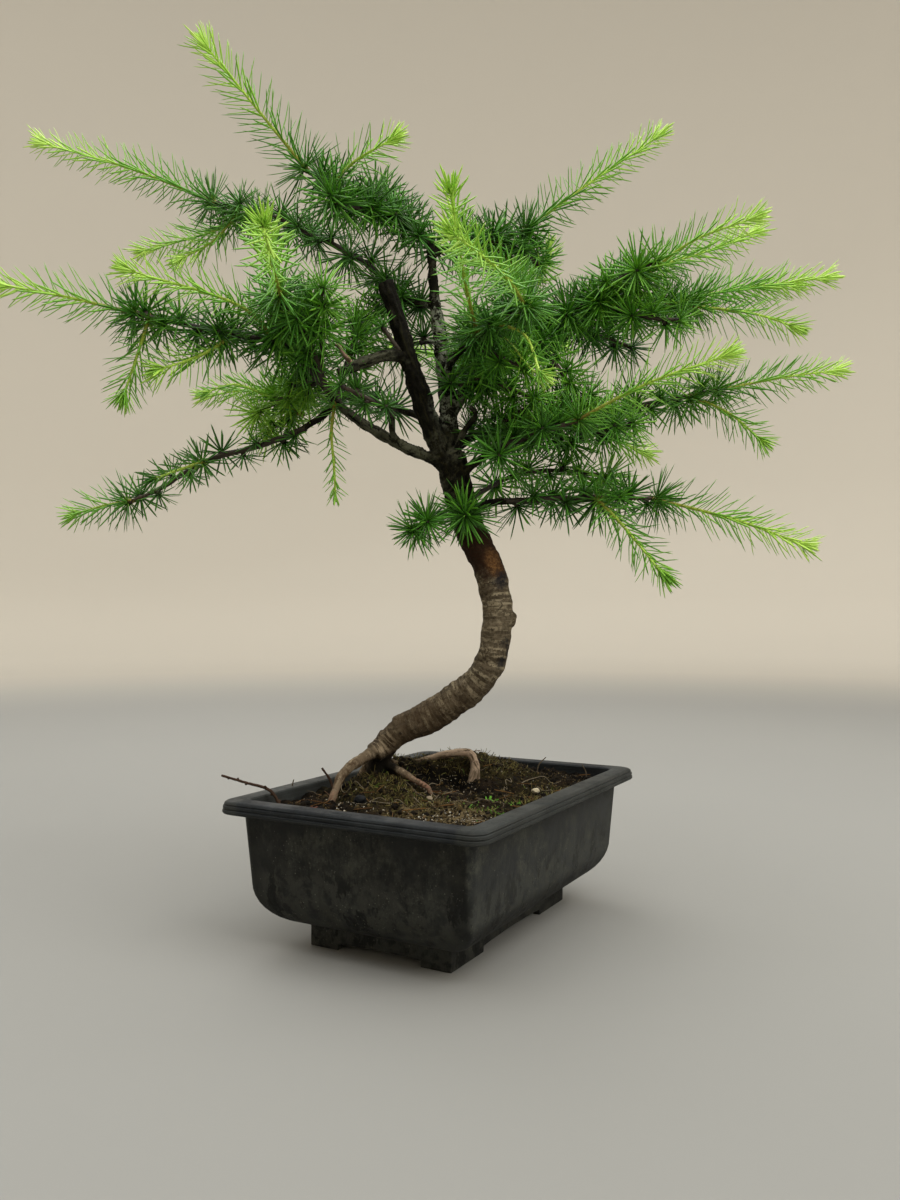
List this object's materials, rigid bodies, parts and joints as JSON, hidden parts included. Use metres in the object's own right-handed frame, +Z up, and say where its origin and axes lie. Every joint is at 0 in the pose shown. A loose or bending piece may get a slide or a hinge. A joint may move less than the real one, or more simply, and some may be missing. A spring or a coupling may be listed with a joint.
{
  "type": "larch bonsai",
  "caption": "Potted larch bonsai with a curved bare trunk, dark needle rosettes on its old twigs and bright new shoots, in a rectangular training pot with corner feet.",
  "frame": {"origin": "on the ground, below the centre of the whole plant's box", "axes": "+Z up, X along the pot's long side, Y along its short side; the tree's broad face looks towards -X and -Y"},
  "size_m": [0.4342, 0.5658, 0.571],
  "materials": {
    "pot_plastic": "matte",
    "soil": "matte",
    "bark": "matte",
    "old_needles": "matte",
    "new_needles": "matte",
    "stone": "matte",
    "dead_wood": "matte"
  },
  "bodies": {
    "root": {"pot": "pot_plastic", "soil": "soil", "tree": "bark", "dry_twig_corner": "dead_wood", "dry_twig_left": "dead_wood", "pebble_dark": "stone", "pebble_middle": "stone", "pebble_pale": "stone", "shoot_back": "new_needles", "shoot_back_left": "new_needles", "shoot_back_left_low": "new_needles", "shoot_back_low": "new_needles", "shoot_back_side": "new_needles", "shoot_front_right": "new_needles", "shoot_hanging": "new_needles", "shoot_left_down": "new_needles", "shoot_left_inner": "new_needles", "shoot_left_main": "new_needles", "shoot_left_mid": "new_needles", "shoot_low_left": "new_needles", "shoot_low_left_front": "new_needles", "shoot_lowest_drop": "new_needles", "shoot_lowest_right": "new_needles", "shoot_right": "new_needles", "shoot_right_back": "new_needles", "shoot_right_far": "new_needles", "shoot_right_fork": "new_needles", "shoot_right_low": "new_needles", "shoot_right_low_drop": "new_needles", "shoot_right_main": "new_needles", "shoot_right_upper": "new_needles", "shoot_top": "new_needles", "shoot_top_right": "new_needles", "shoot_viewer": "new_needles", "shoot_viewer_left": "new_needles", "shoot_viewer_low": "new_needles", "shoot_viewer_right": "new_needles", "spur_leader": "old_needles", "spur_stub": "old_needles", "spur_trunk": "old_needles", "twig_back": "old_needles", "twig_back_left": "old_needles", "twig_back_low": "old_needles", "twig_front": "old_needles", "twig_front_right": "old_needles", "twig_left_crown": "old_needles", "twig_left_main": "old_needles", "twig_low_left": "old_needles", "twig_low_small": "old_needles", "twig_lowest_right": "old_needles", "twig_mid_left": "old_needles", "twig_right": "old_needles", "twig_right_fork": "old_needles", "twig_right_low": "old_needles", "twig_right_main": "old_needles", "twig_top": "old_needles"}
  },
  "joints": []
}
